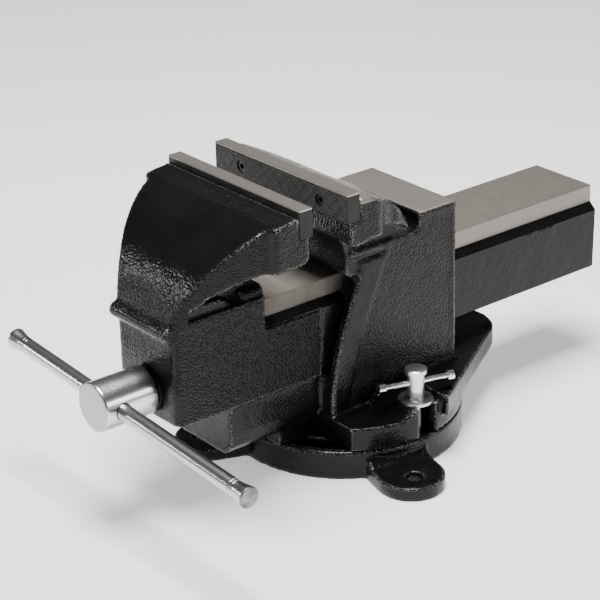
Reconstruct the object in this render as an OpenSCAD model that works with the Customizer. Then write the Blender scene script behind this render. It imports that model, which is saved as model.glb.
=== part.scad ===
// Six-inch bench vise on a swivel base: one sliding jaw on a box beam, a
// fixed jaw with an anvil, a trapezoidal spindle and two T-handle swivel locks.
// Frame: origin on the swivel axis at the underside of the base, +Z up,
// +X across the jaws, -Y towards the spindle handle, +Y towards the beam's tail.

/* [Jaws] */
// Width of the jaws and of their plates
jaw_w = 150; // [140:1:160]
// Gap between the plates as drawn
jaw_gap = 30.6; // [20:0.1:60]
// Thickness of a jaw plate
plate_t = 11.5; // [10:0.5:12]
// Height of a jaw plate
plate_h = 21; // [18:1:24]
// Top of the jaw plates above the bench
plate_top = 223; // [221:1:226]
// Distance between the two screws of a plate
plate_screw_pitch = 89; // [70:1:100]

/* [Beam] */
// Height of the machined top of the beam
beam_top = 143.5; // [142:0.5:144]
// Underside of the beam
beam_bottom = 75; // [74:0.5:77]
// Half width of the machined strip on top of the beam
strip_half = 30.2; // [28:0.2:31]
// Half width of the beam
beam_half = 36.2; // [35:0.2:37]
// Tail end of the beam as drawn
beam_tail = 231; // [210:1:240]

/* [Body] */
// Half width of the fixed body
body_half = 47.4; // [46:0.2:50]
// Top of the anvil
anvil_top = 178; // [174:1:182]
// Rear face of the body and of the anvil
body_rear = 70; // [64:1:76]
// Top of the foot around the swivel locks
foot_top = 40; // [38:1:42]
// Top of the pads under the lock washers
lock_pad_top = 46; // [44:1:48]

/* [Swivel base] */
// Radius of the round base
base_r = 88.4; // [86:0.2:92]
// Height of the round base
base_h = 21.8; // [20:0.2:24]
// Radius of the bolt circle on the bench
bolt_circle_r = 114; // [110:1:118]
// Diameter of the bench bolt holes
bolt_hole_d = 12.5; // [11:0.5:14]
// Angle that the base is turned from the body
base_turn = -14.5; // [-30:0.5:30]

/* [Spindle] */
// Height of the spindle above the bench
spindle_z = 90; // [88:1:92]
// Outer diameter of the spindle thread
thread_d = 25.6; // [22:0.2:26]
// Diameter of the spindle head
head_d = 36; // [34:1:40]
// Length of the tommy bar between its tips
bar_len = 277; // [240:1:300]
// Diameter of the tommy bar
bar_d = 12; // [10:0.5:12]
// Distance that the tommy bar is pushed off centre
bar_shift = 19; // [-60:1:60]
// Tilt of the tommy bar as drawn
bar_tilt = 3.4; // [-10:0.1:10]

/* [Swivel locks] */
// Distance of each lock from the plane between the cheeks
lock_x = 74; // [70:0.5:76]
// Distance of the locks behind the swivel axis
lock_y = 5.5; // [0:0.5:8]
// Length of a lock's cross bar
lock_bar_len = 60; // [50:1:62]
// Turn of the cross bars from the line of the beam
lock_bar_turn = 17; // [0:1:20]

/* [Hidden] */
$fn = 96;

// Faces of the plates and the seats behind them
grip_y = -57.6;
front_grip_y = grip_y - jaw_gap;
seat_y = grip_y + plate_t;
front_seat_y = front_grip_y - plate_t;
plate_bottom = plate_top - plate_h;
plate_mid = plate_top - plate_h / 2;
// Casting under a plate stands back from its gripping face
lip_back = 3.5;

// Back of the fixed jaw head: one cylinder across the jaw
head_arc_r = 93;
head_arc_z = 124.8;
head_arc_in = 12.1;
head_top = 217.5;
head_ledge = 19.3;
head_bottom = 182.5;

// Front jaw, with its own flatter back
front_arc_r = 103.7;
front_arc_in = 18.8;
front_arc_z = 118.7;
box_front = -179.6;
box_rear = -101;
box_half = 36;
box_bottom = 70.8;
box_top = 148;
box_skirt_rear = -50;
box_wall = 30;
box_corner_r = 7;
nose_roll_r = 6;
nose_roll_z = 141;
nose_roll_half = 33;
neck_half = 27;
channel_half = 24;
channel_top = 120;
strip_bottom = 129.3;
ledge_z = 124.5;
beam_skirt_half = 35;

// Body
tunnel_gap = 0.3;
cheek_half = 41;
guide_front = -18;
shelf_z = 164;
valley_z = 161;
side_cut_z = 154.5;
ridge_y = -29;
ridge_z = 151;
ridge_r = 6;
foot_front = -53;
nose_front = -134;
nose_half = 34;
nose_bottom = 31;
nose_top = 70.4;
tail_root = [93, 20];
tail_side = [-64, 108];
tail_y = 107.5;
tail_r = 34;
tail_top = 50;
tail_bottom = 34.5;
core_half = 36;
core_top = 54;
swivel_gap = 0.1;
deck = base_h + swivel_gap;

// Base, with two lugs at the front and one at the rear
lug_angles = [0, -97.5, 131.25];
lug_half = 25;
lug_t = 10;
lug_end = 108.5;
slot_half = 6.5;
slot_head_half = 10;
slot_floor = 4.5;
slot_roof = 13;
spigot_r = 20;
spigot_h = 9;

// Spindle
head_front = -226;
thrust_t = 1.6;
thrust_d = 33;
head_back = box_front - thrust_t;
bar_y = -212;
spindle_tail = 175;
shank_d = 26;
running = 0.1;
spring_len = 14;
spring_d = 33;
keeper_t = 3;
keeper_d = 38;
pin_d = 5;
box_inside = box_front + box_wall;
keeper_y = box_inside + spring_len;
pin_y = keeper_y + keeper_t + pin_d / 2;
bar_end_d = 15.5;
bar_end_len = 14;

// Nut
nut_half = 22;
nut_front = -22;
nut_rear = 46;
nut_plate_top = 81;
nut_r = 20.5;
nut_screw_x = 16.8;
nut_screw_in = 7;

// Fasteners
plate_screw_d = 6;
plate_screw_head_d = 9.2;
plate_screw_head_t = 5.5;
plate_screw_len = 20;
plate_screw_hole = 9.5;
plate_screw_z = plate_mid - 1;
screw_sink = 1.2;
lock_stud_d = 8;
lock_stud_top = 57.5;
lock_head = 17.4;
lock_head_t = 7;
washer_d = 26;
washer_t = 2;
lock_nut_foot = lock_pad_top + washer_t;
lock_nut_d = 12.6;
lock_nut_waist_d = 11.2;
lock_cap_d = 16.5;
lock_cap_z = 68.5;
lock_top = 72.5;
lock_bar_z = 61;
lock_bar_d = 4.6;
collar_d = 7.6;
collar_len = 5;
loose = 0.05;

// Points on a circle about c from angle a0 to a1
function arc(c, r, a0, a1, n = 16) =
    [for (i = [0:n]) let (a = a0 + (a1 - a0) * i / n) c + r * [cos(a), sin(a)]];

// Points from p to q on an arc that bulges to the left of the way by s
function bulge(p, q, s, n = 12) =
    let (d = q - p, l = norm(d), r = (l * l / 4 + s * s) / (2 * abs(s)),
         u = [-d[1], d[0]] / l * sign(s), c = (p + q) / 2 - u * (r - abs(s)),
         half = asin(l / 2 / r), mid = atan2(u[1], u[0]))
    arc(c, r, mid + sign(s) * half, mid - sign(s) * half, n);

function mirrored(points) =
    concat(points, [for (i = [len(points) - 1:-1:0]) [-points[i][0], points[i][1]]]);

// Outline in Y and Z, run across the vise
module across(w) {
    rotate([90, 0, 90]) translate([0, 0, -w / 2]) linear_extrude(w) children();
}

// Outline in X and Z, run along the beam from y0 to y1
module along(y0, y1) {
    translate([0, y1, 0]) rotate([90, 0, 0]) linear_extrude(y1 - y0) children();
}

// Round bar along Y
module rod(y0, y1, d, x = 0, z = spindle_z) {
    translate([x, y1, z]) rotate([90, 0, 0]) cylinder(d = d, h = y1 - y0);
}

module both_sides() {
    children();
    mirror([1, 0, 0]) children();
}

// ---- Swivel base ----

module lug_outline() {
    translate([lug_end, 0]) circle(r = lug_half);
    translate([0, -lug_half]) square([lug_end, 2 * lug_half]);
}

// Sloping root that ties a lug to the side of the disc
module lug_root() {
    slope = [[70, 0], [94, 0], [94, lug_t], [84, lug_t + 7], [70, lug_t + 7]];
    translate([0, lug_half - 1, 0]) rotate([90, 0, 0])
        linear_extrude(2 * lug_half - 2) polygon(slope);
}

module swivel_base() {
    color("#1c1c1e") difference() {
        union() {
            rotate_extrude() polygon(concat(
                [[0, 0], [base_r, 0]],
                arc([base_r - 2, base_h - 2], 2, 0, 90, 4),
                [[0, base_h]]));
            cylinder(r = spigot_r, h = base_h + spigot_h);
            for (a = lug_angles) rotate(base_turn + a) {
                linear_extrude(lug_t) lug_outline();
                intersection() {
                    lug_root();
                    cylinder(r = 95, h = base_h);
                }
            }
        }
        rotate_extrude() polygon([
            [lock_r - slot_half, base_h + 1], [lock_r - slot_half, slot_roof],
            [lock_r - slot_head_half, slot_roof], [lock_r - slot_head_half, slot_floor],
            [lock_r + slot_head_half, slot_floor], [lock_r + slot_head_half, slot_roof],
            [lock_r + slot_half, slot_roof], [lock_r + slot_half, base_h + 1]]);
        for (a = lug_angles) rotate(base_turn + a)
            translate([bolt_circle_r, 0, -1]) cylinder(d = bolt_hole_d, h = lug_t + 2);
    }
}

// ---- Fixed body ----

// Section of the tunnel that the beam runs in
module tunnel_section(half, floor_z) {
    polygon(mirrored([
        [half, floor_z], [half, ledge_z + tunnel_gap],
        [strip_half + 2 * tunnel_gap, strip_bottom + tunnel_gap],
        [strip_half + 2 * tunnel_gap, beam_top + tunnel_gap]]));
}

// Cheeks and anvil, seen from the side
module body_side() {
    polygon(concat(
        [[foot_front + 2, deck], [foot_front + 2, 56]],
        bulge([foot_front + 3, 64], [-24, 142], 3),
        [[-21.5, side_cut_z], [0, side_cut_z], [2, valley_z], [24, valley_z]],
        arc([24, valley_z + 10.4], 10.4, -90, 0, 8),
        [[34.4, anvil_top], [body_rear, anvil_top], [body_rear, deck]]));
}

// Jaw head seen from the side; its ends overhang the cheeks
module fixed_head_side() {
    c = [seat_y - head_arc_in, head_arc_z];
    top_a = acos((seat_y + head_ledge - c[0]) / head_arc_r);
    low_a = asin((head_bottom - 14 - c[1]) / head_arc_r);
    polygon(concat(
        [[seat_y, head_top], [seat_y, plate_bottom], [grip_y + lip_back, plate_bottom]],
        [[grip_y + lip_back, head_bottom + 6]],
        arc([grip_y + lip_back + 6, head_bottom + 6], 6, 180, 265, 5),
        bulge([seat_y, head_bottom], c + head_arc_r * [cos(low_a), sin(low_a)], 8, 10),
        arc(c, head_arc_r, low_a + 1, top_a, 24),
        [[seat_y + head_ledge - 7, head_top - 1.6]]));
}

// Jaw head seen from above
module fixed_head_plan() {
    end = seat_y + head_ledge + 2;
    polygon(mirrored(concat(
        [[jaw_w / 2, grip_y]],
        bulge([jaw_w / 2, end - 4], [jaw_w / 2 - 9, end + 6], -2, 5),
        bulge([62, -14], [56, 6], 2, 6),
        [[body_half, 24], [body_half, 34]])));
}

// Root of the jaw head between the cheeks, hollow in front over a rounded portal edge
module throat() {
    c = [seat_y - head_arc_in, head_arc_z];
    r = head_arc_r - 0.4;
    across(2 * body_half - 4) polygon(concat(
        bulge([seat_y - 1, head_bottom + 1], [ridge_y - 5, shelf_z - 4], 3, 8),
        arc([ridge_y, ridge_z], ridge_r, 160, 270, 8),
        [[26, ridge_z - ridge_r]],
        arc(c, r, asin((shelf_z - c[1]) / r), asin((head_bottom + 9 - c[1]) / r), 12)));
}

// Ear beside a cheek with the raised pad under the lock washer
module foot_ears() {
    ramp = 9;
    intersection() {
        translate([0, 0, deck]) cylinder(r = base_r - 0.4, h = 60);
        across(2 * base_r) polygon([
            [foot_front, deck], [foot_front, foot_top], [lock_y - 14 - ramp, foot_top],
            [lock_y - 14, lock_pad_top], [lock_y + 24, lock_pad_top],
            [lock_y + 24, tail_top], [body_rear, tail_top], [body_rear, deck]]);
    }
}

// Round-ended slab behind the locks; its straight sides run in tangent to the end
module tail_slab() {
    side_a = atan2(tail_side[1], tail_side[0]) - 90;
    translate([0, 0, tail_bottom]) linear_extrude(tail_top - tail_bottom)
        polygon(mirrored(concat([tail_root], arc([0, tail_y], tail_r, side_a + 1, 90, 12))));
}

// Support that carries the beam in front of the base
module nose() {
    along(nose_front, foot_front + 6) polygon(mirrored([
        [nose_half - 9, nose_bottom], [nose_half - 2, nose_bottom + 7],
        [nose_half, nose_bottom + 16], [nose_half, nose_top]]));
    along(1 - base_r, foot_front + 6) polygon(mirrored([
        [nose_half - 6, deck], [nose_half - 6, nose_bottom + 8]]));
}

// Core under the body, clear of the socket for the base's spigot
module core() {
    difference() {
        translate([-core_half, foot_front + 10, deck - 1])
            cube([2 * core_half, body_rear - foot_front - 20, core_top - deck + 1]);
        cylinder(r = spigot_r + 10, h = core_top);
    }
}

module slot_for_lock() {
    w = 15.5;
    translate([lock_x, lock_y, deck - 1]) cylinder(d = w, h = 40);
    translate([lock_x, lock_y - w / 2, deck - 1]) cube([40, w, 40]);
}

module fixed_jaw_body() {
    color("#18181a") difference() {
        union() {
            across(2 * body_half) body_side();
            intersection() {
                across(jaw_w) fixed_head_side();
                translate([0, 0, 150]) linear_extrude(80) fixed_head_plan();
            }
            throat();
            across(2 * body_half) polygon([
                [ridge_y - 2, shelf_z - 4], [ridge_y - 2, shelf_z], [28, shelf_z], [28, shelf_z - 4]]);
            foot_ears();
            tail_slab();
            nose();
        }
        along(-140, body_rear + 1) tunnel_section(beam_half + tunnel_gap, beam_bottom - tunnel_gap);
        along(-140, guide_front) tunnel_section(cheek_half, nose_top);
        both_sides() slot_for_lock();
        core();
        translate([0, 0, deck - 1]) cylinder(r = spigot_r + loose, h = spigot_h + 1.5);
        for (sx = [-1, 1]) translate([sx * plate_screw_pitch / 2, seat_y - 1, plate_screw_z])
            rotate([-90, 0, 0]) cylinder(d = plate_screw_d + 2 * loose, h = plate_screw_hole + 1);
        for (x = [-nut_screw_x, nut_screw_x], y = [nut_front + nut_screw_in, nut_rear - nut_screw_in])
            translate([x, y, 57]) cylinder(d = plate_screw_d + 2 * loose, h = 20);
    }
}

// ---- Jaw plates ----

module plate_screw_holes() {
    for (sx = [-1, 1]) translate([sx * plate_screw_pitch / 2, 0, plate_screw_z]) rotate([-90, 0, 0]) {
        translate([0, 0, -1])
            cylinder(d = plate_screw_head_d + 0.4, h = plate_screw_head_t + screw_sink + 1);
        cylinder(d = plate_screw_d + 0.6, h = plate_t + 1);
    }
}

// Plate with its gripping face at y = 0, towards -Y
module jaw_plate() {
    difference() {
        translate([-jaw_w / 2, 0, plate_bottom]) cube([jaw_w, plate_t, plate_h]);
        plate_screw_holes();
    }
}

// Socket-head screws that sink below the gripping face
module plate_screws() {
    for (sx = [-1, 1]) translate([sx * plate_screw_pitch / 2, screw_sink, plate_screw_z])
        rotate([-90, 0, 0]) difference() {
            union() {
                cylinder(d = plate_screw_head_d, h = plate_screw_head_t);
                cylinder(d = plate_screw_d, h = plate_screw_len - screw_sink);
            }
            translate([0, 0, -1]) cylinder(d = 4.8, h = 4, $fn = 6);
        }
}

module fixed_jaw_plate() {
    color("#77787a") translate([0, grip_y, 0]) jaw_plate();
}

module front_jaw_plate() {
    color("#77787a") translate([0, front_grip_y, 0]) mirror([0, 1, 0]) jaw_plate();
}

module fixed_jaw_screws() {
    color("#2a2a2c") translate([0, grip_y, 0]) plate_screws();
}

module front_jaw_screws() {
    color("#2a2a2c") translate([0, front_grip_y, 0]) mirror([0, 1, 0]) plate_screws();
}

// ---- Spindle nut ----

module spindle_nut() {
    color("#8d7650") difference() {
        union() {
            along(nut_front, nut_rear) polygon(mirrored([
                [nut_half, beam_bottom - tunnel_gap], [nut_half, nut_plate_top],
                [0, nut_plate_top]]));
            along(nut_front + 14, nut_rear - 14) polygon(concat(
                arc([0, spindle_z], nut_r, 0, 180, 24),
                [[-nut_r, nut_plate_top - 1], [nut_r, nut_plate_top - 1]]));
        }
        rod(nut_front - 1, nut_rear + 1, thread_d + running);
        for (x = [-nut_screw_x, nut_screw_x], y = [nut_front + nut_screw_in, nut_rear - nut_screw_in])
            translate([x, y, 0]) {
                translate([0, 0, 60]) cylinder(d = plate_screw_d + 0.6, h = 40);
                translate([0, 0, nut_plate_top - 3]) cylinder(d = 10, h = 10);
            }
    }
}

module spindle_nut_screws() {
    color("#2a2a2c")
        for (x = [-nut_screw_x, nut_screw_x], y = [nut_front + nut_screw_in, nut_rear - nut_screw_in])
            translate([x, y, 0]) {
                translate([0, 0, 58]) cylinder(d = plate_screw_d, h = nut_plate_top - 58);
                translate([0, 0, nut_plate_top - 3]) cylinder(d = 9.4, h = 3);
            }
}

// ---- Swivel locks ----

lock_r = norm([lock_x, lock_y]);

module lock_bolts() {
    color("#8a8c90") for (sx = [-1, 1]) translate([sx * lock_x, lock_y, 0]) {
        translate([0, 0, slot_roof - 0.3 - lock_head_t / 2])
            cube([lock_head, lock_head, lock_head_t], center = true);
        translate([0, 0, slot_roof - 2]) cylinder(d = lock_stud_d, h = lock_stud_top - slot_roof + 2);
    }
}

module lock_washers() {
    color("#c4c4c2") for (sx = [-1, 1]) translate([sx * lock_x, lock_y, lock_pad_top])
        difference() {
            cylinder(d = washer_d, h = washer_t);
            translate([0, 0, -1]) cylinder(d = lock_stud_d + 0.8, h = washer_t + 2);
        }
}

// Direction of a lock's cross bar for the right-hand lock
module at_lock_bar() {
    translate([lock_x, lock_y, lock_bar_z]) rotate(-lock_bar_turn) rotate([-90, 0, 0]) children();
}

module lock_nut() {
    color("#cfcfce") difference() {
        translate([lock_x, lock_y, 0]) rotate_extrude() polygon(concat(
            [[0, lock_nut_foot + loose], [lock_nut_d / 2, lock_nut_foot + loose],
             [lock_nut_waist_d / 2, lock_nut_foot + 2], [lock_nut_d / 2, lock_nut_foot + 7],
             [lock_nut_d / 2, lock_cap_z], [lock_cap_d / 2, lock_cap_z],
             [lock_cap_d / 2, lock_top - 1]],
            bulge([lock_cap_d / 2 - 0.8, lock_top - 0.4], [0, lock_top], -0.2, 4)));
        translate([lock_x, lock_y, lock_nut_foot - 1])
            cylinder(d = lock_stud_d + running, h = lock_stud_top - lock_nut_foot + 1.5);
        at_lock_bar() translate([0, 0, -10]) cylinder(d = lock_bar_d + running, h = 20);
    }
}

module lock_bar() {
    color("#e2e2e2") at_lock_bar()
        translate([0, 0, -lock_bar_len / 2]) cylinder(d = lock_bar_d, h = lock_bar_len);
}

module lock_bar_collars() {
    color("#e2e2e2") at_lock_bar() for (end = [-1, 1])
        translate([0, 0, end * (lock_bar_len / 2 - collar_len / 2)]) difference() {
            cylinder(d = collar_d, h = collar_len, center = true);
            cylinder(d = lock_bar_d, h = collar_len + 2, center = true);
        }
}

module lock_nut_right() { lock_nut(); }
module lock_nut_left() { mirror([1, 0, 0]) lock_nut(); }
module lock_bar_right() { lock_bar(); }
module lock_bar_left() { mirror([1, 0, 0]) lock_bar(); }
module lock_bar_collars_right() { lock_bar_collars(); }
module lock_bar_collars_left() { mirror([1, 0, 0]) lock_bar_collars(); }

// ---- Front jaw ----

module beam_section() {
    polygon(mirrored([
        [beam_skirt_half, beam_bottom], [beam_half, ledge_z],
        [strip_half, strip_bottom], [strip_half, beam_top]]));
}

// Head seen from the side, arched underneath where it runs down to the box
module front_head_side() {
    c = [front_seat_y + front_arc_in, front_arc_z];
    top_a = 180 - acos((head_ledge + front_arc_in) / front_arc_r);
    low_a = 180 - asin((box_top - 4 - c[1]) / front_arc_r);
    polygon(concat(
        [[front_seat_y, head_top], [front_seat_y - head_ledge + 7, head_top - 1.6]],
        arc(c, front_arc_r, top_a, low_a, 24),
        [[-170, box_top - 4]],
        bulge([-170, 157], [-124, head_bottom - 1], 5, 12),
        [[front_grip_y - lip_back - 6, head_bottom]],
        arc([front_grip_y - lip_back - 6, head_bottom + 6], 6, 270, 360, 5),
        [[front_grip_y - lip_back, plate_bottom], [front_seat_y, plate_bottom]]));
}

// Jaw head seen from above, with a groove behind each end
module front_head_plan() {
    end = front_seat_y - head_ledge;
    polygon(mirrored(concat(
        [[jaw_w / 2, front_grip_y], [jaw_w / 2, end]],
        bulge([jaw_w / 2 - 1.5, end - 2.4], [jaw_w / 2 - 8.5, end - 11], -2.6, 8),
        bulge([jaw_w / 2 - 9.2, end - 11.6], [29, -182], 4, 12))));
}

module box_plan() {
    r = box_corner_r;
    polygon(mirrored(concat(
        [[box_half, box_rear]],
        arc([box_half - r, box_front + r], r, 0, -90, 6))));
}

module front_jaw() {
    color("#18181a") difference() {
        union() {
            intersection() {
                across(jaw_w) front_head_side();
                translate([0, 0, 120]) linear_extrude(110) front_head_plan();
            }
            // Neck between the head and the box, on sloping shoulders
            across(2 * neck_half) polygon([
                [-174, box_top - 2], [-170, 165], [-124, head_bottom + 2],
                [-112, head_bottom + 2], [-112, box_top - 2]]);
            along(-176, -112) polygon(mirrored([
                [box_half - 1, box_top - 3], [neck_half - 1, box_top + 9]]));
            translate([0, 0, box_bottom]) linear_extrude(box_top - box_bottom) box_plan();
            // Rounded roll across the front under the head
            translate([-nose_roll_half, box_front - 1, nose_roll_z]) rotate([0, 90, 0])
                cylinder(r = nose_roll_r, h = 2 * nose_roll_half, $fn = 32);
            along(box_rear - 1, beam_tail) beam_section();
            along(box_rear - 1, box_skirt_rear)
                polygon(mirrored([[box_half, box_bottom], [box_half + 0.3, ledge_z - 0.2]]));
            // High shoulders under the front of the head
            across(2 * (box_half - 3)) polygon([
                [-176, box_top - 2], [-176, box_top + 8], [-138, box_top + 8],
                [-126, box_top + 1], [-126, box_top - 2]]);
            // Rounded boss where the box meets the machined strip
            along(-120, -100) polygon(mirrored(concat(
                [[box_half - 2, box_top - 2]], arc([neck_half, box_top + 2], 6.5, 0, 90, 6))));
        }
        along(box_inside, beam_tail + 1) polygon(mirrored(concat(
            [[channel_half, box_bottom - 1], [channel_half, channel_top - 6]],
            arc([channel_half - 6, channel_top - 6], 6, 0, 90, 4))));
        rod(box_front - 1, box_inside + 1, shank_d + running);
        for (sx = [-1, 1]) translate([sx * plate_screw_pitch / 2, front_seat_y + 1, plate_screw_z])
            rotate([90, 0, 0]) cylinder(d = plate_screw_d + 2 * loose, h = plate_screw_hole + 1);
    }
}

// ---- Spindle ----

module thrust_washer() {
    color("#3a3a3c") difference() {
        rod(head_back + running / 2, box_front - running / 2, thrust_d);
        rod(head_back - 1, box_front + 1, shank_d + running);
    }
}

// Along the tilted hole in the spindle head
module at_bar() {
    translate([0, bar_y, spindle_z]) rotate([0, 90 + bar_tilt, 0]) children();
}

module spindle() {
    color("#cfcfd0") difference() {
        union() {
            rod(head_front + 1.2, head_back, head_d);
            translate([0, head_front + 1.2, spindle_z]) rotate([90, 0, 0])
                cylinder(d1 = head_d, d2 = head_d - 2.4, h = 1.2);
            rod(head_back - 1, pin_y + 8, shank_d);
            rod(pin_y + 7, spindle_tail - 2, thread_d);
            translate([0, spindle_tail, spindle_z]) rotate([90, 0, 0])
                cylinder(d1 = thread_d - 4, d2 = thread_d, h = 2);
        }
        at_bar() translate([0, 0, -40]) cylinder(d = bar_d + running, h = 80);
        translate([0, pin_y, spindle_z - 40]) cylinder(d = pin_d + running, h = 80);
    }
}

module retaining_spring() {
    color("#a0a2a6") difference() {
        rod(box_inside + 0.3, keeper_y - running, spring_d);
        rod(box_inside, keeper_y, shank_d + 1);
    }
}

module retaining_washer() {
    color("#9a9ca0") difference() {
        rod(keeper_y, keeper_y + keeper_t - running, keeper_d);
        rod(keeper_y - 1, keeper_y + keeper_t + 1, shank_d + running);
    }
}

module retaining_pin() {
    color("#9a9ca0") translate([0, pin_y, spindle_z - 18]) cylinder(d = pin_d, h = 36);
}

module tommy_bar() {
    color("#dedfe0") at_bar() translate([0, 0, bar_shift - bar_len / 2 + 2])
        cylinder(d = bar_d, h = bar_len - 4);
}

// Swaged ends, waisted behind the rim
module tommy_bar_ends() {
    profile = [[bar_d / 2, 0], [bar_end_d / 2, 3.5], [bar_end_d / 2, bar_end_len - 1.5],
               [bar_end_d / 2 - 1.5, bar_end_len], [0, bar_end_len], [0, bar_end_len - 2],
               [bar_d / 2, bar_end_len - 2]];
    color("#dedfe0") at_bar() for (end = [0, 1])
        translate([0, 0, bar_shift]) mirror([0, 0, end])
            translate([0, 0, bar_len / 2 - bar_end_len]) rotate_extrude() polygon(profile);
}

swivel_base();
fixed_jaw_body();
fixed_jaw_plate();
fixed_jaw_screws();
spindle_nut();
spindle_nut_screws();
lock_bolts();
lock_washers();
lock_nut_right();
lock_nut_left();
lock_bar_right();
lock_bar_left();
lock_bar_collars_right();
lock_bar_collars_left();
front_jaw();
front_jaw_plate();
front_jaw_screws();
thrust_washer();
spindle();
retaining_spring();
retaining_washer();
retaining_pin();
tommy_bar();
tommy_bar_ends();
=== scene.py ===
"""Looks of the six-inch bench vise, on the frame of its CAD model.
Metres; +X across the jaws, -Y towards the handle, +Z up, origin on the swivel axis.
"""

import math

import bmesh
import bpy
import numpy as np
from mathutils import Matrix, Vector


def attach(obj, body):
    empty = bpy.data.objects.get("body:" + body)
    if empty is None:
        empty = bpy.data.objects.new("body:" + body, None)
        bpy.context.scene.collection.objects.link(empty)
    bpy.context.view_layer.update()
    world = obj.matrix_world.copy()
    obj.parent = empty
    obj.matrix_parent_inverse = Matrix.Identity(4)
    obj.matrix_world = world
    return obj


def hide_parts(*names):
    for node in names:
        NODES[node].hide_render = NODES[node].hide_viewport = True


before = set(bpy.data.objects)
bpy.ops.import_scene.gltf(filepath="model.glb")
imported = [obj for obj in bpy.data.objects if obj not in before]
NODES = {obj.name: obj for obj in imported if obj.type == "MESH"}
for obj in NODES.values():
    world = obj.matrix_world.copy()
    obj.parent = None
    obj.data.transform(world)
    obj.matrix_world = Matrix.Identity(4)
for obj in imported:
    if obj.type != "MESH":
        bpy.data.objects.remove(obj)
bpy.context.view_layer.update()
MM = 0.001

# ---- Camera and light ----
# A long lens from the right of the handle, an overhead softbox, a small light on each side and
# a faint white surround.

CAMERA_AZ, CAMERA_EL, CAMERA_ROLL = (math.radians(a) for a in (51.49862, 24.15099, -1.5156))
CAMERA_PLACE = (1.10656, -0.92171, 0.74968)
camera_data = bpy.data.cameras.new("camera")
camera = bpy.data.objects.new("camera", camera_data)
bpy.context.collection.objects.link(camera)
back = Vector((math.sin(CAMERA_AZ) * math.cos(CAMERA_EL),
               -math.cos(CAMERA_AZ) * math.cos(CAMERA_EL), math.sin(CAMERA_EL)))
level = (-back).cross(Vector((0, 0, 1))).normalized()
upright = level.cross(-back)
across = level * math.cos(CAMERA_ROLL) + upright * math.sin(CAMERA_ROLL)
up = upright * math.cos(CAMERA_ROLL) - level * math.sin(CAMERA_ROLL)
pose = Matrix((across, up, back)).transposed().to_4x4()
pose.translation = Vector(CAMERA_PLACE)
camera.matrix_world = pose
camera_data.sensor_width = 36
camera_data.lens = 127.1
camera_data.clip_end = 20
bpy.context.scene.camera = camera


def softbox(name, place, target, size, watts, colour=(1, 1, 1)):
    """Rectangular area light at place, facing target."""
    data = bpy.data.lights.new(name, "AREA")
    data.shape = "RECTANGLE"
    data.size, data.size_y = size
    data.energy = watts
    data.color = colour
    light = bpy.data.objects.new(name, data)
    bpy.context.collection.objects.link(light)
    light.location = place
    aim = Vector(target) - Vector(place)
    light.rotation_euler = aim.to_track_quat("-Z", "Y").to_euler()


CENTRE = (0, 0, 0.1)
softbox("overhead", (0.0, -0.1, 1.6), CENTRE, (0.75, 0.6), 60, (1.0, 0.985, 0.965))
softbox("left", (-1.3, -1.2, 0.52), CENTRE, (0.16, 0.16), 4.5)
softbox("right", (1.7, 0.7, 0.7), CENTRE, (0.5, 0.5), 5)

world = bpy.data.worlds.new("white")
world.use_nodes = True
world.node_tree.nodes["Background"].inputs["Color"].default_value = (1, 1, 1, 1)
world.node_tree.nodes["Background"].inputs["Strength"].default_value = 0.10
bpy.context.scene.world = world

# ---- Floor ----
# Pale matt paper, seamless, lit a little from itself so that it stays light.
# It lies flat under the base and isn't part of the vise.

FLOOR_HALF = 4


class Value:
    """An output socket of a material, with sums and products as shader nodes."""

    def __init__(self, material, socket):
        self.material, self.socket = material, socket

    def math(self, operation, *others, clamp=False):
        node = self.material.node("ShaderNodeMath", operation=operation, use_clamp=clamp)
        for i, other in enumerate((self,) + others):
            self.material.feed(node.inputs[i], other)
        return Value(self.material, node.outputs[0])

    def __add__(self, other):
        return self.math("ADD", other)

    def __sub__(self, other):
        return self.math("SUBTRACT", other)

    def __mul__(self, other):
        return self.math("MULTIPLY", other)

    def __truediv__(self, other):
        return self.math("DIVIDE", other)

    def clamped(self):
        return self.math("ADD", 0.0, clamp=True)

    def step(self, low, high):
        """0 at low and 1 at high, straight between; low may be above high."""
        return ((self - low) / (high - low)).clamped()

    def inverse(self):
        return self.material.constant(1.0) - self


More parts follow.
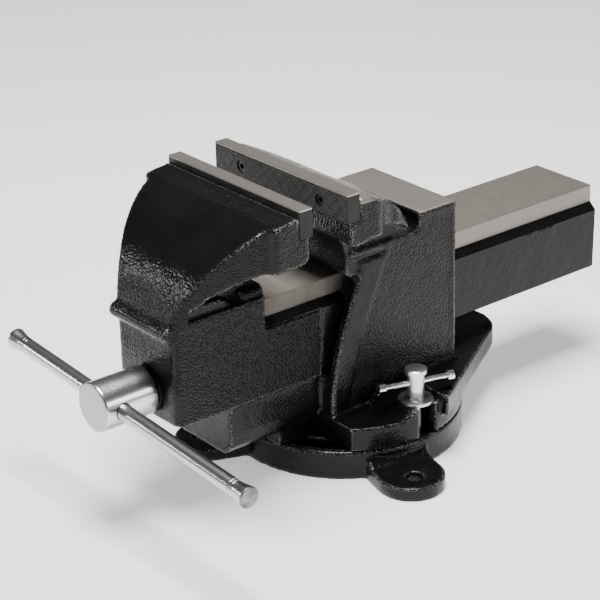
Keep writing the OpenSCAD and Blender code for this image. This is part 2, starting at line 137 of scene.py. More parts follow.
class Finish:
    """A Principled material that is built up from procedural values."""

    def __init__(self, name, **constants):
        self.data = bpy.data.materials.new(name)
        self.data.use_nodes = True
        self.tree = self.data.node_tree
        self.shader = self.tree.nodes["Principled BSDF"]
        for key, value in constants.items():
            self.shader.inputs[key.replace("_", " ").title()
                               .replace("Ior", "IOR")].default_value = value
        self.place = Value(self, self.node("ShaderNodeTexCoord").outputs["Object"])

    def node(self, kind, **properties):
        node = self.tree.nodes.new(kind)
        for key, value in properties.items():
            setattr(node, key, value)
        return node

    def feed(self, target, source):
        if isinstance(source, Value):
            self.tree.links.new(source.socket, target)
        else:
            target.default_value = source

    def constant(self, value):
        node = self.node("ShaderNodeValue")
        node.outputs[0].default_value = value
        return Value(self, node.outputs[0])

    def axis(self, letter):
        node = self.node("ShaderNodeSeparateXYZ")
        self.feed(node.inputs[0], self.place)
        return Value(self, node.outputs["XYZ".index(letter)])

    def stretched(self, scale):
        """Object coordinates times a scale for each axis."""
        node = self.node("ShaderNodeVectorMath", operation="MULTIPLY")
        self.feed(node.inputs[0], self.place)
        node.inputs[1].default_value = scale
        return Value(self, node.outputs[0])

    def noise(self, scale, detail=3.0, roughness=0.55, stretch=None):
        node = self.node("ShaderNodeTexNoise")
        self.feed(node.inputs["Vector"], self.stretched(stretch) if stretch else self.place)
        node.inputs["Scale"].default_value = scale
        node.inputs["Detail"].default_value = detail
        node.inputs["Roughness"].default_value = roughness
        return Value(self, node.outputs[0])

    def cells(self, scale):
        node = self.node("ShaderNodeTexVoronoi", feature="SMOOTH_F1")
        self.feed(node.inputs["Vector"], self.place)
        node.inputs["Scale"].default_value = scale
        return Value(self, node.outputs["Distance"])

    def attribute(self, name):
        node = self.node("ShaderNodeAttribute", attribute_name=name)
        return Value(self, node.outputs["Fac"])

    def mix(self, factor, first, second):
        """Colour mix; first and second are colours or colour values."""
        node = self.node("ShaderNodeMix", data_type="RGBA")
        self.feed(node.inputs["Factor"], factor)
        for key, colour in (("A", first), ("B", second)):
            socket = [s for s in node.inputs if s.name == key and s.type == "RGBA"][0]
            self.feed(socket, colour if isinstance(colour, Value) else tuple(colour) + (1,))
        return Value(self, [s for s in node.outputs if s.type == "RGBA"][0])

    def bump(self, height, depth):
        node = self.node("ShaderNodeBump")
        node.inputs["Strength"].default_value = 1.0
        node.inputs["Distance"].default_value = depth
        self.feed(node.inputs["Height"], height)
        self.tree.links.new(node.outputs[0], self.shader.inputs["Normal"])

    def set(self, **values):
        for key, value in values.items():
            self.feed(self.shader.inputs[key.replace("_", " ").title()], value)


def piece(name, verts, faces, material, sharp=None):
    """A mesh object in the row frame, shaded smooth, with edges over sharp degrees kept."""
    mesh = bpy.data.meshes.new(name)
    mesh.from_pydata(np.asarray(verts, float).tolist(), [],
                     faces.tolist() if isinstance(faces, np.ndarray) else faces)
    mesh.materials.append(material)
    mesh.polygons.foreach_set("use_smooth", np.ones(len(mesh.polygons), bool))
    if sharp is not None:
        mesh.set_sharp_from_angle(angle=math.radians(sharp))
    mesh.update()
    obj = bpy.data.objects.new(name, mesh)
    bpy.context.collection.objects.link(obj)
    return obj


floor_finish = Finish("pale_floor", roughness=0.75, emission_color=(1, 1, 1, 1),
                      emission_strength=0.55)
floor_finish.set(base_color=floor_finish.mix(floor_finish.noise(3, 2.0),
                                             (0.86, 0.86, 0.86), (0.9, 0.9, 0.9)))
floor = piece("floor", FLOOR_HALF * np.array([(-1, -1, 0), (1, -1, 0), (1, 1, 0), (-1, 1, 0)]),
              [(0, 1, 2, 3)], floor_finish.data)

# ---- Swivel base ----
# A thick disc with three bolt lugs. Grey iron, sand cast and painted black, turned on top
# where the body runs. The lugs are bolted to the bench.


def paint(name, bare=None):
    """Glossy black paint over a sand-cast skin. The pebble attribute says how rough the skin
    is, the edge attribute where the paint is thin and where glints are painted in as light
    specks, and bare(finish) masks machined metal."""
    f = Finish(name, specular_ior_level=0.2)
    pebbles = f.cells(720).step(0.75, 0.1)
    grain = f.noise(950, 3.0, 0.6)
    coarse = f.noise(150, 2.0)
    # Light specks on convex edges, thinned out by noise: partly worn paint, partly painted glints.
    wear_and_glints = (f.attribute("edge") * f.noise(900, 2.0).step(0.5, 0.58)).clamped()
    metal = bare(f) if bare else f.constant(0.0)
    brushed = f.noise(60, 4.0, 0.7, stretch=(1, 22, 1))
    dark = f.mix(f.noise(30, 4.0).step(0.35, 0.7), (0.0035, 0.0035, 0.0036), (0.006, 0.006, 0.0061))
    dark = f.mix(grain.step(0.55, 0.8), dark, (0.011, 0.011, 0.0112))
    # Lightens the black to grey on these specks: worn paint and painted highlight together.
    dark = f.mix(wear_and_glints * 0.6, dark, (0.4, 0.4, 0.4))
    ground = f.mix(brushed.step(0.3, 0.75), (0.25, 0.225, 0.205), (0.345, 0.315, 0.29))
    # Darker steel on the bare strip's vertical sides, strongest towards the head: painted shade.
    shaded_side_steel = f.mix(f.noise(40, 3.0).step(0.3, 0.7), (0.05, 0.043, 0.038), (0.14, 0.125, 0.11))
    ground = f.mix(f.attribute("side") * 0.85, ground, shaded_side_steel)
    f.set(base_color=f.mix(metal, dark, ground),
          metallic=metal * 0.85,
          roughness=(grain * 0.12 + 0.08) * metal.inverse() + metal * (brushed * 0.14 + 0.42))
    skin = (pebbles * 0.6 + grain * 0.35) * f.attribute("pebble") + coarse * 0.3
    f.bump(skin * metal.inverse() + brushed * metal * 0.03, 0.0009)
    return f.data


def place(obj, body, slot, *nodes):
    """obj moves with body and stands for nodes, which are hidden. slot is not used."""
    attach(obj, body)
    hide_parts(*nodes)


def merged(node, keep_below=None):
    """bmesh of a CAD node with its doubled points merged, cut to y < keep_below and capped."""
    bm = bmesh.new()
    bm.from_mesh(NODES[node].data)
    bmesh.ops.remove_doubles(bm, verts=bm.verts, dist=1e-6)
    if keep_below is not None:
        cut = bmesh.ops.bisect_plane(bm, geom=bm.verts[:] + bm.edges[:] + bm.faces[:],
                                     plane_co=(0, keep_below, 0), plane_no=(0, 1, 0),
                                     clear_outer=True)
        rim = [e for e in cut["geom_cut"] if isinstance(e, bmesh.types.BMEdge)]
        bmesh.ops.triangle_fill(bm, edges=rim, use_beauty=True)
    return bm


def even_skin(bm, cell):
    """Points and quads of a closed bmesh's surface, rebuilt with even cells."""
    mesh = bpy.data.meshes.new("source")
    bm.to_mesh(mesh)
    bm.free()
    obj = bpy.data.objects.new("source", mesh)
    bpy.context.collection.objects.link(obj)
    remesh = obj.modifiers.new("even", "REMESH")
    remesh.mode = "VOXEL"
    remesh.voxel_size = cell
    result = bpy.data.meshes.new_from_object(
        obj.evaluated_get(bpy.context.evaluated_depsgraph_get()))
    verts = np.empty(len(result.vertices) * 3)
    result.vertices.foreach_get("co", verts)
    quads = np.empty(len(result.loops), int)
    result.loops.foreach_get("vertex_index", quads)
    bpy.data.objects.remove(obj)
    bpy.data.meshes.remove(mesh)
    bpy.data.meshes.remove(result)
    return verts.reshape(-1, 3), quads.reshape(-1, 4)


def ring_mean(verts, edges, count):
    """Mean of each point's neighbours."""
    total = np.stack([
        np.bincount(edges[:, 0], verts[edges[:, 1], k], count)
        + np.bincount(edges[:, 1], verts[edges[:, 0], k], count)
        for k in range(verts.shape[1])], axis=1)
    degree = np.bincount(edges.ravel(), minlength=count)
    return total / degree[:, None]


def normals_of(verts, quads):
    """Unit normal at each point, from the quads round it."""
    a, b, c, d = (verts[quads[:, k]] for k in range(4))
    face = np.cross(c - a, d - b)
    total = np.stack([np.bincount(quads.ravel(), np.repeat(face[:, k], 4), len(verts))
                      for k in range(3)], axis=1)
    return total / np.maximum(np.linalg.norm(total, axis=1), 1e-12)[:, None]


LATTICE = 48


def lattice_noise(points, cell, seed):
    """Value noise from -1 to 1: random values on a cubic lattice, blended smoothly."""
    values = np.random.default_rng(seed).uniform(-1, 1, (LATTICE,) * 3)
    q = points / cell
    low = np.floor(q).astype(int)
    t = q - low
    t = t * t * (3 - 2 * t)
    total = np.zeros(len(points))
    for corner in np.ndindex(2, 2, 2):
        w = np.prod([t[:, k] if corner[k] else 1 - t[:, k] for k in range(3)], axis=0)
        i = tuple((low[:, k] + corner[k]) % LATTICE for k in range(3))
        total += w * values[i]
    return total


def cast_waves(points):
    """Unevenness of a sand-cast face: broad waves and weaker small ones."""
    return lattice_noise(points, 0.016, 3) + 0.6 * lattice_noise(points, 0.0065, 4)


def mark(obj, name, values):
    """Gives each point of obj a number that its material can read."""
    obj.data.attributes.new(name, "FLOAT", "POINT").data.foreach_set(
        "value", np.asarray(values, np.float32))


FIT_STEP = 0.35 * MM
SMOOTHING = (0.5, -0.52)
EDGE_FROM, EDGE_GAIN = 0.05, 9.0


def casting(name, node, material, cell, rounds, rough, fits, pebbled, flats=(), keep_below=None,
            trim=None):
    """A sand casting: even skin, softened edges, a slightly uneven surface.

    fits(p, n) marks the points on running or bolted faces, which step back by FIT_STEP and stay
    smooth. Each flat is (axis, level, reach, mask(p)): points within reach are set level.
    rough is the unevenness in metres, and pebbled(p, n) the pebble attribute. The edge
    attribute goes from 0 on flats and hollows to 1 on sharp outer edges. trim(p), if there is
    one, moves the points last."""
    verts, quads = even_skin(merged(node, keep_below), cell)
    pairs = np.concatenate([quads[:, [k, (k + 1) % 4]] for k in range(4)])
    edges = np.unique(np.sort(pairs, axis=1), axis=0)
    for _ in range(rounds):
        for weight in SMOOTHING:
            verts = verts + weight * (ring_mean(verts, edges, len(verts)) - verts)
    normals = normals_of(verts, quads)
    convex = ((verts - ring_mean(verts, edges, len(verts))) * normals).sum(axis=1) / cell
    for _ in range(2):
        convex = 0.5 * convex + 0.5 * ring_mean(convex[:, None], edges, len(verts))[:, 0]
    fitted = fits(verts, normals)
    uneven = cast_waves(verts) + 0.35 * lattice_noise(verts, 0.0042, 5)
    shift = np.where(fitted, -FIT_STEP, rough * uneven)
    verts = verts + normals * shift[:, None]
    for axis, height, reach, mask in flats:
        near = (np.abs(verts[:, axis] - height) < reach) & mask(verts)
        verts[near, axis] = height
    if trim is not None:
        verts = trim(verts)
    obj = piece(name, verts, quads, material)
    mark(obj, "edge", np.clip((convex - EDGE_FROM) * EDGE_GAIN, 0, 1))
    mark(obj, "pebble", pebbled(verts, normals))
    return obj


base_paint = paint("base_paint")
base = casting(
    "swivel_base_casting", "swivel_base", base_paint, 1.6 * MM, 4, 0.16 * MM,
    lambda p, n: (p[:, 2] > 0.0135) & (np.hypot(p[:, 0], p[:, 1]) < 0.0855),
    lambda p, n: np.full(len(p), 0.25),
    [(2, 0.0, 1.2 * MM, lambda p: p[:, 2] < 0.001)])
place(base, "base", "black_casting", "swivel_base")

# ---- Fixed jaw body ----
# Fixed jaw, anvil and guide for the beam in one. Grey iron, sand cast and painted black, with
# the anvil and the jaw's top ground bare. It turns on the base and is held by the two locks.


def body_bare(f):
    anvil = f.axis("Z").step(0.1772, 0.1776) * f.axis("Y").step(0.0345, 0.0355)
    top = f.axis("Z").step(0.2130, 0.2136)
    return (anvil + top).clamped()


body_paint = paint("body_paint", body_bare)


def body_fits(p, n):
    """The beam's tunnel, the foot's underside, the hollow under the body and the plate's seat."""
    x, y, z = np.abs(p[:, 0]), p[:, 1], p[:, 2]
    tunnel = (x < 0.0372) & (z > 0.0735) & (z < 0.1452) & (y < 0.0695)
    under = (z < 0.0235) & (n[:, 2] < -0.7)
    inside = (x < 0.0368) & (z < 0.056) & (y > -0.044) & (y < 0.061)
    seat = (y < -0.0455) & (z > 0.2015) & (n[:, 1] < -0.7)
    return tunnel | under | inside | seat


def behind_crease(p):
    """0 on the smooth band along a cheek's front edge and 1 behind it. The crease between
    them is a parabola of y over z."""
    t = (p[:, 2] / MM - 61.9) / 92
    crease = -31.6 + 19.8 * t + 13.1 * t * t
    return np.clip((p[:, 1] / MM - crease) / 1.6, 0, 1)


def body_pebbles(p, n):
    """Rough on the jaw head, less so on the cheeks behind the crease, smoothest on the foot."""
    cheek = (np.abs(n[:, 0]) > 0.6) & (p[:, 2] > 0.045) & (p[:, 2] < 0.178)
    return np.where(cheek, 0.25 + 0.4 * behind_crease(p), np.where(p[:, 2] < 0.06, 0.2, 0.6))


CREASE_STEP = 0.6 * MM


def body_trim(p):
    """Sinks the cheeks by CREASE_STEP behind the crease, fading out at the other three sides."""
    side = (np.abs(p[:, 0]) > 0.0462) & (np.abs(p[:, 0]) < 0.049) & (p[:, 1] < 0.068)
    side &= (p[:, 2] > 0.056) & (p[:, 2] < 0.176)
    low = np.clip((p[:, 2] - 0.056) / 0.010, 0, 1)
    high = np.clip((0.176 - p[:, 2]) / 0.006, 0, 1)
    rear = np.clip((0.068 - p[:, 1]) / 0.006, 0, 1)
    sink = CREASE_STEP * behind_crease(p) * low * high * rear
    p[side, 0] -= (np.sign(p[:, 0]) * sink)[side]
    return p


body = casting(
    "fixed_jaw_casting", "fixed_jaw_body", body_paint, 1.6 * MM, 4, 0.17 * MM, body_fits,
    body_pebbles,
    [(2, 0.178, 1.0 * MM, lambda p: (p[:, 1] > 0.0352) & (p[:, 1] < 0.0692)
      & (np.abs(p[:, 0]) < 0.0466)),
     (2, 0.046, 0.6 * MM, lambda p: (np.abs(p[:, 0]) > 0.06) & (np.abs(p[:, 1] - 0.006) < 0.0125))],
    trim=body_trim)
place(body, "body", "black_casting", "fixed_jaw_body")

# ---- Front jaw ----
# Jaw head, neck and spindle box. Grey iron, sand cast and painted black, in one with the beam,
# whose machined length is the next piece.

front_paint = paint("front_paint")


def front_fits(p, n):
    """The plate's seat, the spindle's bore and the channel under the beam."""
    x, y, z = np.abs(p[:, 0]), p[:, 1], p[:, 2]
    seat = (y > -0.1005) & (z > 0.2015) & (n[:, 1] > 0.7)
    bore = (np.hypot(p[:, 0], z - 0.09) < 0.0135) & (y < -0.145)
    channel = (x < 0.0246) & (z < 0.1206) & (y > -0.151)
    return seat | bore | channel


def front_trim(p):
    """Tucks the stub of the beam in under the beam's own skin."""
    stub = (p[:, 1] > -0.1005) & (p[:, 2] > 0.1236) & (p[:, 2] < 0.15)
    p[stub, 0] *= 0.965
    p[stub, 2] -= 0.0016
    return p


def front_pebbles(p, n):
    """The head's back is smooth at the top and grows rough below; the box is rough."""
    back = (n[:, 1] < -0.2) & (np.abs(n[:, 0]) < 0.6)
    head = np.where(back, 0.1 + 0.8 * np.clip((0.2 - p[:, 2]) / 0.055, 0, 1) ** 1.5, 0.6)
    box = np.where(n[:, 1] < -0.6, 0.35, 1.2)
    return np.where(p[:, 2] > 0.146, head, box)


front = casting("front_jaw_casting", "front_jaw", front_paint, 1.4 * MM, 3, 0.2 * MM,
                front_fits, front_pebbles, keep_below=-0.0505, trim=front_trim)
place(front, "sliding_jaw", "black_casting", "front_jaw")

# ---- Beam ----
# The front jaw's box beam, open below. Grey iron, with painted cast sides. The top strip, its
# shoulders and the tail are planed bare. It slides through the body.


def beam_bare(f):
    return (f.axis("Z").step(0.1296, 0.1299) + f.axis("Y").step(0.2303, 0.2306)).clamped()


beam_paint = paint("beam_paint", beam_bare)


def beam_profile():
    """Half outline of the beam in X and Z, from the channel's roof to the top strip, in mm."""
    roof = [(18 + 6 * math.sin(a), 114 + 6 * math.cos(a))
            for a in np.linspace(0, math.pi / 2, 5)]
    return ([(0, 120)] + roof
            + [(24, 75.8), (24.8, 75), (34.2, 75), (35.02, 75.8), (36.15, 123.9), (35.7, 124.6),
               (30.6, 129.2), (30.2, 129.9), (30.2, 142.9), (29.6, 143.5), (0, 143.5)])


def face_outwards(obj):
    """Turns the faces of a closed piece outwards."""
    bm = bmesh.new()
    bm.from_mesh(obj.data)
    bmesh.ops.recalc_face_normals(bm, faces=bm.faces)
    bm.to_mesh(obj.data)
    bm.free()


def beam_piece():
    """The outline swept along Y, with evenly spaced points and a small chamfer at the tail. The
    hidden end is drawn in a little, inside the front jaw."""
    spacing, chamfer, draw_in, roughness = 2.2, 0.7, 0.9, 0.14 * MM
    half = np.array(beam_profile())
    loop = np.concatenate([half, (half * (-1, 1))[::-1][1:-1]])
    dense = []
    for a, b in zip(loop, np.roll(loop, -1, axis=0)):
        n = max(1, int(np.linalg.norm(b - a) / spacing))
        dense += [a + (b - a) * k / n for k in range(n)]
    dense = np.array(dense)
    tangent = np.roll(dense, -1, axis=0) - np.roll(dense, 1, axis=0)
    tangent /= np.linalg.norm(tangent, axis=1)[:, None]
    outward = np.stack([tangent[:, 1], -tangent[:, 0]], axis=1)
    if outward[np.argmax(dense[:, 0])][0] < 0:
        outward = -outward
    stations = np.concatenate([[-103.0, -52.0], np.arange(-50.0, 230.0, spacing), [230.3, 231.0]])
    count = len(dense)
    rings = []
    for y in stations:
        ring = dense.copy()
        if y > 230.9:
            ring = ring - chamfer * outward
        if y < -51:
            side = ring[:, 1] < 124.2
            ring[side] = ring[side] - draw_in * outward[side]
        rings.append(np.column_stack([ring[:, 0], np.full(count, y), ring[:, 1]]))
    verts = np.concatenate(rings) * MM
    cast = (np.abs(verts[:, 0]) > 0.0345) & (verts[:, 2] < 0.1232) & (verts[:, 1] < 0.2295)
    verts[cast, 0] += (roughness * cast_waves(verts) * np.sign(verts[:, 0]))[cast]
    faces = []
    for i in range(len(stations) - 1):
        for j in range(count):
            k = (j + 1) % count
            faces.append((i * count + j, (i + 1) * count + j, (i + 1) * count + k, i * count + k))
    faces.append(tuple(range(count)))
    faces.append(tuple(reversed(range(len(verts) - count, len(verts)))))
    return piece("beam", verts, faces, beam_paint, 32)


beam = beam_piece()
face_outwards(beam)
beam_points = np.array([v.co for v in beam.data.vertices])
mark(beam, "pebble", np.full(len(beam_points), 0.25))
# The side attribute marks the strip's sides for the painted shade, fading out towards the tail.
mark(beam, "side", ((np.abs(beam_points[:, 0]) > 0.0296) & (beam_points[:, 2] < 0.1432))
     * np.clip((0.04 - beam_points[:, 1]) / 0.08, 0, 1))
place(beam, "sliding_jaw", "black_casting", "front_jaw")

# ---- Jaw plates ----
# Two hardened steel bars, ground all over, with a diamond knurl milled on the gripping face.
# Each is held on its jaw by two socket screws.


def plate_finish():
    f = Finish("plate_steel", specular_ior_level=0.25)
    marks = f.noise(90, 4.0, 0.7, stretch=(3, 40, 40))
    cloud = f.noise(60, 4.0)
    top = f.axis("Z").step(0.2219, 0.2222)
    black = f.mix(cloud.step(0.3, 0.7), (0.008, 0.008, 0.008), (0.022, 0.0215, 0.021))
    # Light grey on the flat knurl crests: painted highlight.
    black = f.mix(f.attribute("crest") * 0.55, black, (0.34, 0.33, 0.315))
    bright = f.mix(marks.step(0.25, 0.75), (0.36, 0.33, 0.305), (0.52, 0.49, 0.455))
    f.set(base_color=f.mix(top, black, bright), metallic=top * 0.8 + 0.1,
          roughness=marks * 0.14 + 0.27)
    f.bump(marks, 0.00004)
    return f.data


PLATE_STEEL = plate_finish()
PLATE_W, PLATE_LOW, PLATE_TOP, PLATE_T = 150.0, 202.0, 223.0, 11.5
SCREW_X, SCREW_Z, SCREW_HOLE_R = 44.5, 211.5, 4.8
FIXED_GRIP_Y, FRONT_GRIP_Y = -57.6, -88.2


def knurled_plate(name, face_y, way):
    """Bar whose gripping face is a height field of square pyramids standing on their corners.

    The height is the lesser of two triangle waves, along and across the diagonal, cut off flat
    at two thirds. way is +1 if the back lies towards +Y. The points round each screw hole are
    drawn on to its rim, and those inside it sink by hole_depth."""
    edge, pitch, depth = 0.6, 1.7, 0.6
    border_width, rim_width, rim_depth, hole_depth = 0.8, 0.3, 0.25, 7.0
    crest_depth = 0.15
    x = np.linspace(-PLATE_W / 2 + edge, PLATE_W / 2 - edge, 421)
    z = np.linspace(PLATE_LOW + edge, PLATE_TOP - edge, 57)
    gx, gz = np.meshgrid(x, z, indexing="ij")
    u = ((gx + gz) / pitch / math.sqrt(2)) % 1.0
    v = ((gx - gz) / pitch / math.sqrt(2)) % 1.0
    height = np.minimum(1 - np.abs(2 * u - 1), 1 - np.abs(2 * v - 1))
    into = depth * (1 - np.clip(height * 1.5, 0, 1))
    border = np.minimum(np.minimum(gx - x[0], x[-1] - gx), np.minimum(gz - z[0], z[-1] - gz))
    fade = np.clip(border / border_width, 0, 1)
    into = into * fade
    for sx in (-SCREW_X, SCREW_X):
        dx, dz = gx - sx, gz - SCREW_Z
        r = np.hypot(dx, dz)
        rim = np.abs(r - SCREW_HOLE_R) < rim_width
        scale = SCREW_HOLE_R / np.maximum(r, 1e-6)
        gx[rim] = (sx + dx * scale)[rim]
        gz[rim] = (SCREW_Z + dz * scale)[rim]
        into[rim] = rim_depth
        inner = (r < SCREW_HOLE_R) & ~rim
        into[inner] = hole_depth
    rows, cols = gx.shape
    front = np.column_stack([gx.ravel(), into.ravel(), gz.ravel()])

    def loop(w, t, y):
        """Points round the bar's outline, one for each point of the field's border."""
        path = ([(i, 0) for i in range(rows)] + [(rows - 1, j) for j in range(1, cols)]
                + [(i, cols - 1) for i in range(rows - 2, -1, -1)]
                + [(0, j) for j in range(cols - 2, 0, -1)])
        out = []
        for i, j in path:
            px = x[i] if 0 < i < rows - 1 else math.copysign(w, x[i])
            pz = z[j] if 0 < j < cols - 1 else (PLATE_LOW + t if j == 0 else PLATE_TOP - t)
            out.append((px, y, pz))
        return path, out

    path, ring_a = loop(PLATE_W / 2, 0.0, edge)
    _, ring_b = loop(PLATE_W / 2, 0.0, PLATE_T - edge)
    _, ring_c = loop(PLATE_W / 2 - edge, edge, PLATE_T)
    verts = np.concatenate([front, ring_a, ring_b, ring_c])
    verts[:, 1] = face_y + way * verts[:, 1]
    faces = [(i * cols + j, (i + 1) * cols + j, (i + 1) * cols + j + 1, i * cols + j + 1)
             for i in range(rows - 1) for j in range(cols - 1)]
    border_ids = [i * cols + j for i, j in path]
    n, start = len(path), rows * cols
    rings = [border_ids] + [list(range(start + k * n, start + (k + 1) * n)) for k in range(3)]
    for a, b in zip(rings, rings[1:]):
        faces += [(a[k], b[k], b[(k + 1) % n], a[(k + 1) % n]) for k in range(n)]
    faces.append(tuple(rings[3]))
    obj = piece(name, verts * MM, faces, PLATE_STEEL)
    # The crest attribute marks the flat tops of the knurl, where the highlight is painted.
    crest = np.zeros(len(verts))
    crest[:rows * cols] = (fade * (into < crest_depth)).ravel()
    mark(obj, "crest", crest)
    face_outwards(obj)
    obj.data.set_sharp_from_angle(angle=math.radians(28))
    return obj


fixed_plate = knurled_plate("fixed_plate_knurled", FIXED_GRIP_Y, 1)
place(fixed_plate, "body", "jaw_steel", "fixed_jaw_plate")
front_plate = knurled_plate("front_plate_knurled", FRONT_GRIP_Y, -1)
place(front_plate, "sliding_jaw", "jaw_steel", "front_jaw_plate")

# ---- Spindle head and shank ----
# A polished barrel with a satin end. Steel, turned, ground and plated, in one with the screw,
# and drilled across for the tommy bar.

SPINDLE_Z = 90


def turned_faces(rows, steps):
    """Quads between the rings of a turned piece, and a fan at each end. The two end points come
    after the rings."""
    faces = []
    for i in range(rows - 1):
        for j in range(steps):
            k = (j + 1) % steps
            faces.append((i * steps + j, i * steps + k, (i + 1) * steps + k, (i + 1) * steps + j))
    last = (rows - 1) * steps
    for j in range(steps):
        k = (j + 1) % steps
        faces.append((rows * steps, k, j))
        faces.append((rows * steps + 1, last + j, last + k))
    return faces


def lathe(name, profile, material, place_at, turn_to, steps=64, sharp=35):
    """Profile of (radius, distance) in mm turned about an axis through place_at along turn_to.
    The first and last radius are 0."""
    profile = np.asarray(profile, float) * MM
    axis = np.asarray(turn_to, float) / np.linalg.norm(turn_to)
    side = np.cross(axis, (0, 0, 1) if abs(axis[2]) < 0.9 else (1, 0, 0))
    side /= np.linalg.norm(side)
    other = np.cross(axis, side)
    angles = np.linspace(0, 2 * np.pi, steps, endpoint=False)
    middle = profile[1:-1]
    rings = (np.asarray(place_at, float) * MM
             + middle[:, None, 1:2] * axis
             + middle[:, None, 0:1] * (np.cos(angles)[None, :, None] * side
                                       + np.sin(angles)[None, :, None] * other))
    ends = np.asarray(place_at, float) * MM + profile[[0, -1], 1:2] * axis
    verts = np.concatenate([rings.reshape(-1, 3), ends])
    return piece(name, verts, turned_faces(len(middle), steps), material, sharp)


def spindle_finish():
    f = Finish("spindle_plating", metallic=1.0)
    marks = f.noise(80, 4.0, 0.7, stretch=(1, 30, 1))
    disc = f.axis("Y").step(-0.2252, -0.2256)
    # Near black from the barrel's back edge on: painted shade where the barrel meets the thrust
    # washer.
    ring = f.axis("Y").step(-0.1835, -0.1825)
    silver = f.mix(marks.step(0.3, 0.7), (0.66, 0.66, 0.66), (0.80, 0.80, 0.795))
    silver = f.mix(disc * 0.8, silver, (0.4, 0.4, 0.4))
    f.set(base_color=f.mix(ring, silver, (0.02, 0.02, 0.02)),
          roughness=disc * 0.22 + marks * 0.10 + 0.19)
    f.bump(marks, 0.00002)
    return f.data


DRILL_LENGTH = 80


def drilled(obj, start, axis, radius):
    """Cuts a round hole right through a turned piece."""
    tool = lathe("drill", [(0, 0), (radius, 0)]
                 + [(radius, k) for k in range(2, DRILL_LENGTH, 2)]
                 + [(radius, DRILL_LENGTH), (0, DRILL_LENGTH)],
                 obj.data.materials[0], start, axis, 96)
    cut = obj.modifiers.new("hole", "BOOLEAN")
    cut.operation, cut.solver, cut.object = "DIFFERENCE", "EXACT", tool
    mesh = bpy.data.meshes.new_from_object(
        obj.evaluated_get(bpy.context.evaluated_depsgraph_get()))
    obj.modifiers.clear()
    obj.data = mesh
    mesh.polygons.foreach_set("use_smooth", np.ones(len(mesh.polygons), bool))
    mesh.set_sharp_from_angle(angle=math.radians(40))
    bpy.data.objects.remove(tool)


BAR_TILT = math.radians(3.4)
bar_axis = np.array((math.cos(BAR_TILT), 0, -math.sin(BAR_TILT)))
HEAD_R, SHANK_R, BAR_HOLE_R, BAR_Y = 18.0, 12.95, 6.5, -212
head_outline = ([(0, -226.0), (14.0, -226.0), (16.8, -225.95), (17.5, -225.6), (17.95, -224.9)]
                + [(HEAD_R, y) for y in np.arange(-224.0, -183.2, 0.8)]
                + [(HEAD_R - 0.5, -182.6), (HEAD_R - 1.0, -181.3), (SHANK_R, -181.2)]
                + [(SHANK_R, y) for y in np.arange(-179.0, -122.0, 3.0)] + [(0, -121.5)])
spindle_head = lathe("spindle_head", head_outline, spindle_finish(), (0, 0, SPINDLE_Z),
                     (0, 1, 0), 128)
drilled(spindle_head, np.array((0, BAR_Y, SPINDLE_Z)) - DRILL_LENGTH / 2 * bar_axis, bar_axis,
        BAR_HOLE_R)
place(spindle_head, "screw", "spindle_steel", "spindle")

# ---- Spindle screw ----
# Right-hand trapezoidal thread, 25.6 mm by 6 mm. Plain steel, rolled and oiled, in one with
# the head. It runs in the nut inside the body.

THREAD_R, THREAD_ROOT, THREAD_PITCH = 12.8, 9.8, 6.0


def steel(name, colour, roughness, grain=(40, 2, 40), depth=0.00004, tint=0.12, metallic=1.0):
    """Metal with fine brush marks along one axis and a slight cloud of wear."""
    f = Finish(name)
    marks = f.noise(90, 4.0, 0.7, stretch=grain)
    cloud = f.noise(45, 4.0)
    low = tuple(c * (1 - tint) for c in colour)
    high = tuple(min(1.0, c * (1 + tint)) for c in colour)
    f.set(base_color=f.mix((marks * 0.5 + cloud * 0.5).step(0.3, 0.7), low, high),
          roughness=(marks * 0.5 + cloud * 0.5).step(0.25, 0.75) * 0.12 + (roughness - 0.05))
    f.shader.inputs["Metallic"].default_value = metallic
    f.bump(marks, depth)
    return f.data


screw_steel = steel("screw_steel", (0.34, 0.33, 0.32), 0.34)


def thread_piece():
    """Right-hand thread: the radius at an angle and a distance is a trapezoid wave of distance
    over pitch plus angle over a turn. It tapers to the root at both ends."""
    steps, y0, y1 = 56, -122.0, 175.0
    ys = np.arange(y0, y1 + 0.01, THREAD_PITCH / 12)
    angles = np.linspace(0, 2 * np.pi, steps, endpoint=False)
    gy, ga = np.meshgrid(ys, angles, indexing="ij")
    wave = np.abs((gy / THREAD_PITCH + ga / (2 * np.pi)) % 1.0 - 0.5) * 2
    radius = THREAD_ROOT + (THREAD_R - THREAD_ROOT) * np.clip((wave - 0.36) / 0.28, 0, 1)
    ends = np.clip(np.minimum((gy - y0) / 3 + 0.05, (y1 - gy) / 3), 0, 1)
    radius = np.minimum(radius, THREAD_ROOT - 1.5 + ends * (THREAD_R - THREAD_ROOT + 1.5))
    rings = np.stack([radius * np.cos(ga), gy, SPINDLE_Z + radius * np.sin(ga)], axis=-1)
    tips = [(0, y0, SPINDLE_Z), (0, y1, SPINDLE_Z)]
    verts = np.concatenate([rings.reshape(-1, 3), tips]) * MM
    return piece("spindle_screw", verts, turned_faces(len(ys), steps), screw_steel, 40)


screw = thread_piece()
place(screw, "screw", "spindle_steel", "spindle")

# ---- Retaining spring ----
# A coil of round spring steel wire, 3.1 mm thick, wound cold. It sits on the shank between the
# box's wall and the washer, and takes up the spindle's end play.


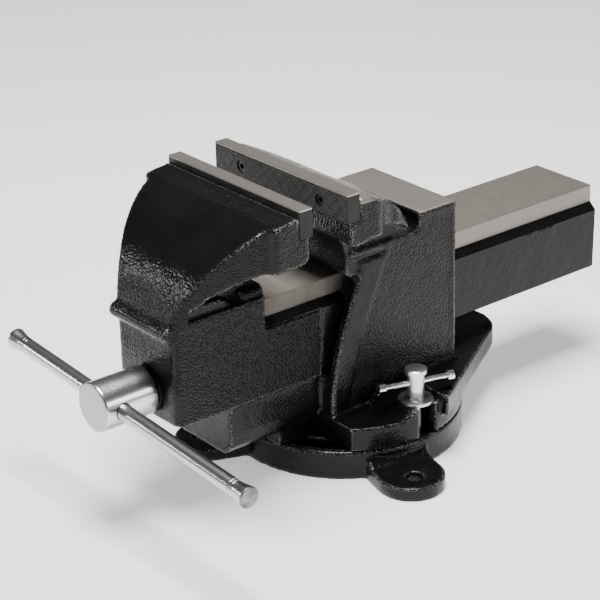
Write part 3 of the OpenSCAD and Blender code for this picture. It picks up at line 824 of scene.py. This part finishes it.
def spring_piece():
    """A helix of 3.6 turns whose wire is a circle of 12 sides, capped at both ends."""
    turns, wire, radius, sides = 3.6, 1.55, 14.6, 12
    y0, y1 = -149.2 + wire, -135.9 - wire
    t = np.linspace(0, 1, 160)
    turn = 2 * np.pi * turns * t
    centre = np.stack([radius * np.cos(turn), y0 + (y1 - y0) * t,
                       SPINDLE_Z + radius * np.sin(turn)], 1)
    out = np.stack([np.cos(turn), np.zeros_like(turn), np.sin(turn)], 1)
    angles = np.linspace(0, 2 * np.pi, sides, endpoint=False)
    rings = (centre[:, None, :] + wire * (np.cos(angles)[None, :, None] * out[:, None, :]
                                          + np.sin(angles)[None, :, None] * np.array((0, 1, 0))))
    verts = rings.reshape(-1, 3) * MM
    faces = [(i * sides + j, i * sides + (j + 1) % sides,
              (i + 1) * sides + (j + 1) % sides, (i + 1) * sides + j)
             for i in range(len(t) - 1) for j in range(sides)]
    faces += [tuple(reversed(range(sides))), tuple(range(len(verts) - sides, len(verts)))]
    return piece("spring_coil", verts, faces, steel("spring_wire", (0.3, 0.3, 0.3), 0.4), 40)


spring = spring_piece()
place(spring, "sliding_jaw", "spring_steel", "retaining_spring")

# ---- Tommy bar ----
# The handle. Bright-drawn steel bar, polished and plated, with both ends upset after it was
# fitted, so that it slides in the head but can't fall out.


def bar_finish():
    f = Finish("bar_plating", metallic=1.0)
    marks = f.noise(90, 4.0, 0.7, stretch=(3, 40, 40))
    tips = (f.axis("X").step(0.1562, 0.1567) + f.axis("X").step(-0.1184, -0.1189)).clamped()
    silver = f.mix(marks.step(0.3, 0.7), (0.46, 0.46, 0.455), (0.62, 0.62, 0.615))
    grey = f.mix(f.noise(160, 3.0).step(0.35, 0.65), (0.13, 0.125, 0.125), (0.27, 0.265, 0.265))
    f.set(base_color=f.mix(tips, silver, grey), roughness=marks * 0.1 + tips * 0.12 + 0.2)
    f.bump(marks, 0.00004)
    return f.data


BAR_R, END_R, LEFT_TIP, RIGHT_TIP = 6.0, 7.7, -119.5, 157.5
end_outline = [(0, 0.1), (END_R - 1.6, 0.02), (END_R - 0.5, 0.0), (END_R - 0.1, 0.3), (END_R, 0.9),
               (END_R - 0.2, 2.5), (END_R - 0.7, 5.0), (BAR_R + 0.6, 7.5), (BAR_R + 0.15, 10.0),
               (BAR_R, 12.5), (BAR_R, 13.4), (BAR_R - 0.55, 13.7), (BAR_R - 0.55, 14.5),
               (BAR_R, 14.8), (BAR_R, 16.2), (BAR_R - 0.55, 16.5), (BAR_R - 0.55, 17.2),
               (BAR_R, 17.5), (BAR_R, 19.0)]
bar_outline = ([(r, LEFT_TIP + d) for r, d in end_outline]
               + [(BAR_R, d) for d in np.arange(LEFT_TIP + 22, RIGHT_TIP - 20, 4.0)]
               + [(r, RIGHT_TIP - d) for r, d in end_outline[::-1]])
tommy = lathe("tommy_bar_turned", bar_outline, bar_finish(), (0, BAR_Y, SPINDLE_Z), bar_axis,
              64, 28)
place(tommy, "tommy", "bar_chrome", "tommy_bar", "tommy_bar_ends")

# ---- Swivel locks and fasteners ----
# Satin-plated turned nuts with polished cross bars, on zinc-plated T-bolts and washers. The
# spindle's nut is plain iron, and the socket screws are black. These keep their CAD shapes.

lock_satin = steel("lock_satin", (0.74, 0.74, 0.735), 0.3, grain=(30, 30, 2), tint=0.06)
lock_bright = steel("lock_bright", (0.8, 0.8, 0.8), 0.16, grain=(3, 30, 30), tint=0.05)
washer_zinc = steel("washer_zinc", (0.68, 0.68, 0.67), 0.28, grain=(30, 30, 30), tint=0.1)
bolt_zinc = steel("bolt_zinc", (0.5, 0.5, 0.49), 0.36, grain=(20, 20, 20))
black_oxide = steel("black_oxide", (0.05, 0.05, 0.052), 0.42, grain=(20, 20, 20), metallic=0.7)
nut_iron = steel("nut_iron", (0.2, 0.185, 0.165), 0.5, grain=(6, 6, 6), tint=0.3)

for node, finish in (("lock_nut_right", lock_satin), ("lock_nut_left", lock_satin),
                     ("lock_bar_right", lock_bright), ("lock_bar_left", lock_bright),
                     ("lock_bar_collars_right", lock_bright),
                     ("lock_bar_collars_left", lock_bright),
                     ("lock_washers", washer_zinc), ("lock_bolts", bolt_zinc),
                     ("fixed_jaw_screws", black_oxide), ("front_jaw_screws", black_oxide),
                     ("spindle_nut", nut_iron), ("spindle_nut_screws", black_oxide),
                     ("thrust_washer", black_oxide), ("retaining_washer", bolt_zinc),
                     ("retaining_pin", bolt_zinc)):
    mesh = NODES[node].data
    mesh.materials.clear()
    mesh.materials.append(finish)
